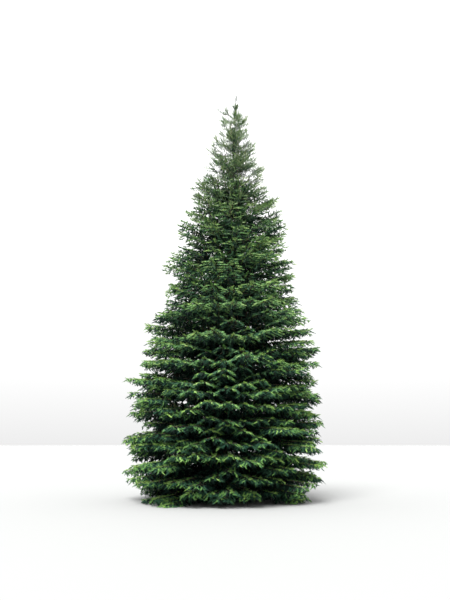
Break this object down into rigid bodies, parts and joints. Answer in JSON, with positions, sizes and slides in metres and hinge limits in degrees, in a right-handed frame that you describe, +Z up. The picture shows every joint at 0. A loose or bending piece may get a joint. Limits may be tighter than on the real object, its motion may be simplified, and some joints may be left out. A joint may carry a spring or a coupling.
{
  "type": "spruce tree",
  "caption": "Conical spruce rooted in level ground, with foliage in whorls from a skirt at the ground up to one leading shoot.",
  "frame": {"origin": "middle of the flat cut under the trunk, at ground level", "axes": "+Z up the trunk to the tip; +X the way the tip leans, to the right in the picture; -Y to where the picture was taken from"},
  "size_m": [5.4292, 5.8656, 12],
  "materials": {
    "bark": "rough grey-brown bark",
    "needles": "matt to slightly waxy green needles"
  },
  "bodies": {
    "root": {"trunk": "bark", "bough_1_1": "bark", "foliage_1_1": "needles", "bough_1_2": "bark", "foliage_1_2": "needles", "bough_1_3": "bark", "foliage_1_3": "needles", "bough_1_4": "bark", "foliage_1_4": "needles", "bough_1_5": "bark", "foliage_1_5": "needles", "bough_1_6": "bark", "foliage_1_6": "needles", "bough_2_1": "bark", "foliage_2_1": "needles", "bough_2_2": "bark", "foliage_2_2": "needles", "bough_2_3": "bark", "foliage_2_3": "needles", "bough_2_4": "bark", "foliage_2_4": "needles", "bough_2_5": "bark", "foliage_2_5": "needles", "bough_2_6": "bark", "foliage_2_6": "needles", "bough_3_1": "bark", "foliage_3_1": "needles", "bough_3_2": "bark", "foliage_3_2": "needles", "bough_3_3": "bark", "foliage_3_3": "needles", "bough_3_4": "bark", "foliage_3_4": "needles", "bough_3_5": "bark", "foliage_3_5": "needles", "foliage_4_1": "needles", "foliage_4_2": "needles", "foliage_4_3": "needles", "foliage_4_4": "needles", "foliage_4_5": "needles", "foliage_5_1": "needles", "foliage_5_2": "needles", "foliage_5_3": "needles", "foliage_5_4": "needles", "foliage_6_1": "needles", "foliage_6_2": "needles", "foliage_6_3": "needles", "foliage_6_4": "needles", "foliage_7_1": "needles", "foliage_7_2": "needles", "foliage_7_3": "needles", "foliage_8_1": "needles", "foliage_8_2": "needles", "foliage_8_3": "needles", "foliage_9_1": "needles", "foliage_9_2": "needles", "foliage_9_3": "needles", "foliage_10_1": "needles", "foliage_10_2": "needles", "foliage_top": "needles"}
  },
  "joints": []
}
